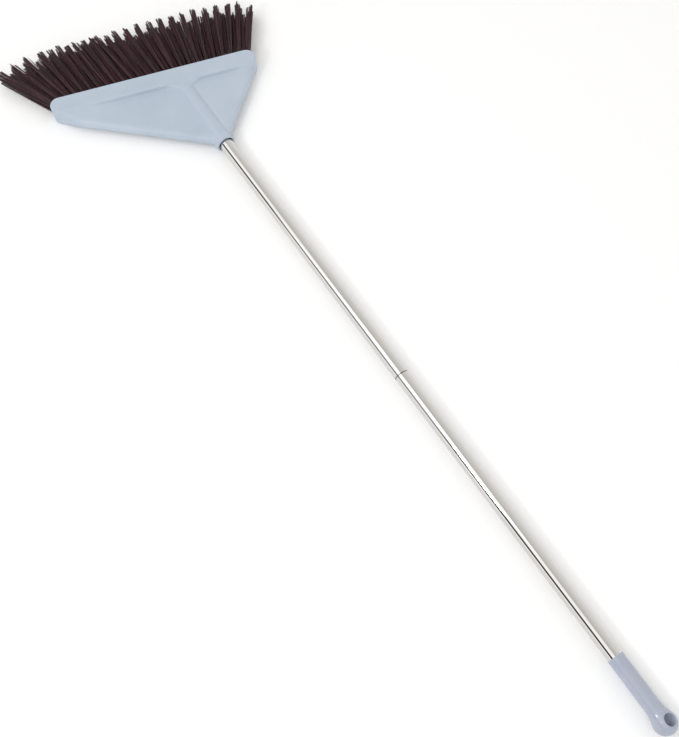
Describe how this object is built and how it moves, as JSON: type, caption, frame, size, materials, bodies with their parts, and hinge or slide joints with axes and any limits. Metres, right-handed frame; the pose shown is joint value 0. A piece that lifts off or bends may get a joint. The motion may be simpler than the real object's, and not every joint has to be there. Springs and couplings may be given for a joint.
{
  "type": "angle broom",
  "caption": "Long-handled angle broom: slanted moulded head with stiff dark bristles, a steel pole in two lengths that screw together, and a plastic grip with a hanging hole.",
  "frame": {"origin": "on the flat back of the head's bar, under the pole's axis, with the broom lying on its back", "axes": "+Y along the pole from the grip towards the bristles, +Z out of the head's front, +X to the short side of the head"},
  "size_m": [0.4251, 1.4161, 0.034],
  "materials": {
    "head_plastic": "satin moulded polypropylene, pale blue-grey",
    "block_plastic": "moulded polypropylene",
    "screw_steel": "zinc plated",
    "bristle": "drawn polymer filament, dark maroon",
    "anchor_wire": "galvanised flat wire",
    "dark_plastic": "moulded polypropylene",
    "washer_rubber": "moulded rubber",
    "pole_steel": "polished stainless tube",
    "grip_plastic": "satin gloss moulded polypropylene"
  },
  "bodies": {
    "head": {"head_cover": "head_plastic", "bristle_block": "block_plastic", "block_screws": "screw_steel", "tufts_row_1": "bristle", "tufts_row_2": "bristle", "tufts_row_3": "bristle", "tufts_row_4": "bristle", "tufts_row_5": "bristle", "anchors_row_1": "anchor_wire", "anchors_row_2": "anchor_wire", "anchors_row_3": "anchor_wire", "anchors_row_4": "anchor_wire", "anchors_row_5": "anchor_wire"},
    "tip_ring": {"tip_washer": "washer_rubber"},
    "lower_pole": {"pole_tip": "dark_plastic", "lower_tube": "pole_steel", "joint_plug": "dark_plastic"},
    "seam_ring": {"seam_washer": "washer_rubber"},
    "upper_pole": {"joint_sleeve": "dark_plastic", "upper_tube": "pole_steel", "grip": "grip_plastic"}
  },
  "joints": [
    {"name": "tip_advance", "type": "slide", "parent": "head", "child": "tip_ring", "axis": [0, -1, 0], "range_m": [0, 0.021]},
    {"name": "tip_turn", "type": "hinge", "parent": "tip_ring", "child": "lower_pole", "pos_m": [0, -0.1133, 0.017], "axis": [0, -1, 0], "range_deg": [0, 1260]},
    {"name": "seam_advance", "type": "slide", "parent": "lower_pole", "child": "seam_ring", "axis": [0, -1, 0], "range_m": [0, 0.021]},
    {"name": "seam_turn", "type": "hinge", "parent": "seam_ring", "child": "upper_pole", "pos_m": [0, -0.6315, 0.017], "axis": [0, -1, 0], "range_deg": [0, 1260]}
  ],
  "couplings": [
    {"joint": "tip_advance", "follows": "tip_turn", "m_per_rad": 0.00095493},
    {"joint": "seam_advance", "follows": "seam_turn", "m_per_rad": 0.00095493}
  ]
}
